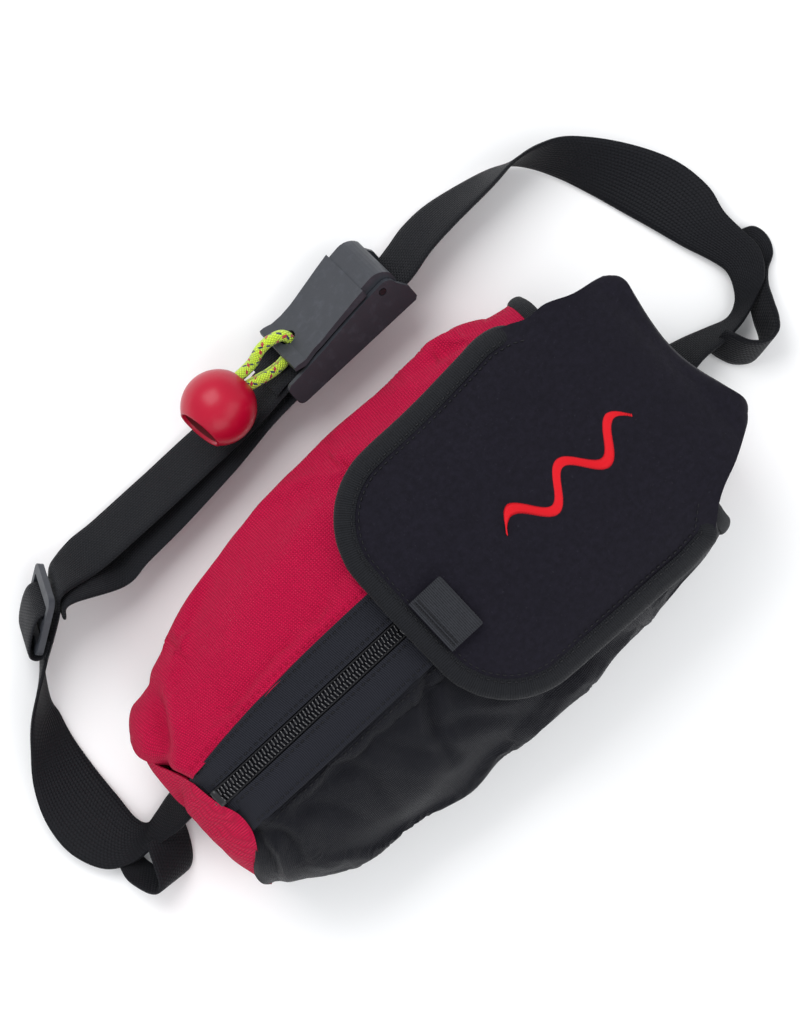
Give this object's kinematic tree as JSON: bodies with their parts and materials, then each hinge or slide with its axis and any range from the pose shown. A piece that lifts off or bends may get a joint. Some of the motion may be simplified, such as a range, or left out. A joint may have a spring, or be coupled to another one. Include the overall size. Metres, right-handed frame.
{
  "type": "throw rope bag",
  "caption": "Rope pouch with a fold-over flap and zip on a waist belt, with a cam buckle released by a ball on a cord.",
  "frame": {"origin": "the middle of the flat wear face, on the side of the pouch that lies against the wearer", "axes": "+Z out of the wearer's back through the pouch, +X towards the pouch's mouth and flap, +Y towards the loop of the belt"},
  "size_m": [0.3944, 0.208, 0.0977],
  "materials": {
    "red_cloth": "coarse coated pack cloth",
    "black_cloth": "coated pack cloth",
    "neoprene": "matte jersey-faced neoprene",
    "webbing": "ribbed polyester webbing",
    "binding": "grosgrain tape",
    "zip": "satin nylon coil",
    "buckle": "satin acetal",
    "pin": "satin stainless",
    "ball": "glossy moulded",
    "cord": "braided with dark flecks",
    "rope": "floating polypropylene braid",
    "foam": "closed-cell foam",
    "thread": "satin stitched thread"
  },
  "bodies": {
    "pouch": {"pouch_red_panel": "red_cloth", "pouch_black_panel": "black_cloth", "pouch_back_panel": "black_cloth", "pouch_floor": "black_cloth", "pouch_end_panel": "red_cloth", "mouth_rim_red": "binding", "mouth_rim_black": "binding", "zip_facing_red_side": "binding", "zip_facing_black_side": "binding", "zip_tape_red_side": "zip", "zip_coil_red_side": "zip", "zip_tape_black_side": "zip", "zip_coil_black_side": "zip", "zip_bottom_stop": "zip", "pouch_top_band": "black_cloth", "loop_patch_red_side": "binding", "loop_patch_black_side": "binding", "flap_end_panel": "neoprene", "throw_bag_shell": "red_cloth", "foam_float": "foam", "rope_pack": "rope", "drawcord": "cord", "cord_lock": "buckle", "cord_lock_plunger": "buckle", "grab_loop": "webbing", "belt_in_sleeve": "webbing", "belt_root_left": "webbing", "belt_root_right": "webbing", "gear_loop_left": "webbing", "gear_loop_right": "webbing"},
    "flap_cover": {"flap": "neoprene", "flap_binding": "binding", "flap_pull_tab": "webbing", "flap_emblem": "thread", "hook_patch_red_side": "binding", "hook_patch_black_side": "binding"},
    "zip_runner": {"zip_slider": "zip", "zip_puller": "zip"},
    "belt_loop": {"belt_left": "webbing", "belt_right": "webbing", "buckle_base": "buckle", "buckle_pin": "pin", "belt_tail": "webbing", "belt_adjust_loop": "webbing", "belt_at_tri_glide": "webbing"},
    "lever": {"buckle_lever": "buckle"},
    "adjuster": {"tri_glide": "buckle"},
    "release_pull": {"release_ball": "ball", "cord_knot": "cord", "release_cord": "cord"}
  },
  "joints": [
    {"name": "flap_fold", "type": "hinge", "parent": "pouch", "child": "flap_cover", "pos_m": [0.1325, 0.006, 0.0733], "axis": [0, 1, 0], "range_deg": [0, 150]},
    {"name": "zip_travel", "type": "slide", "parent": "pouch", "child": "zip_runner", "axis": [-1, 0, 0], "range_m": [0, 0.165]},
    {"name": "belt_swing", "type": "hinge", "parent": "pouch", "child": "belt_loop", "pos_m": [0, 0.0055, 0.005], "axis": [-1, 0, 0], "range_deg": [-100, 0]},
    {"name": "lever_release", "type": "hinge", "parent": "belt_loop", "child": "lever", "pos_m": [0.063, 0.12344, 0.0237], "axis": [0, 0.6691, -0.7431], "range_deg": [0, 105]},
    {"name": "adjuster_travel", "type": "slide", "parent": "belt_loop", "child": "adjuster", "axis": [1, 0, 0], "range_m": [0, 0.04], "deforming": ["belt_at_tri_glide", "belt_adjust_loop", "belt_left"]},
    {"name": "pull_swing", "type": "hinge", "parent": "lever", "child": "release_pull", "pos_m": [0.015, 0.12597, 0.02329], "axis": [0, 0.6691, -0.7431], "range_deg": [0, 90], "deforming": ["release_cord"]}
  ]
}
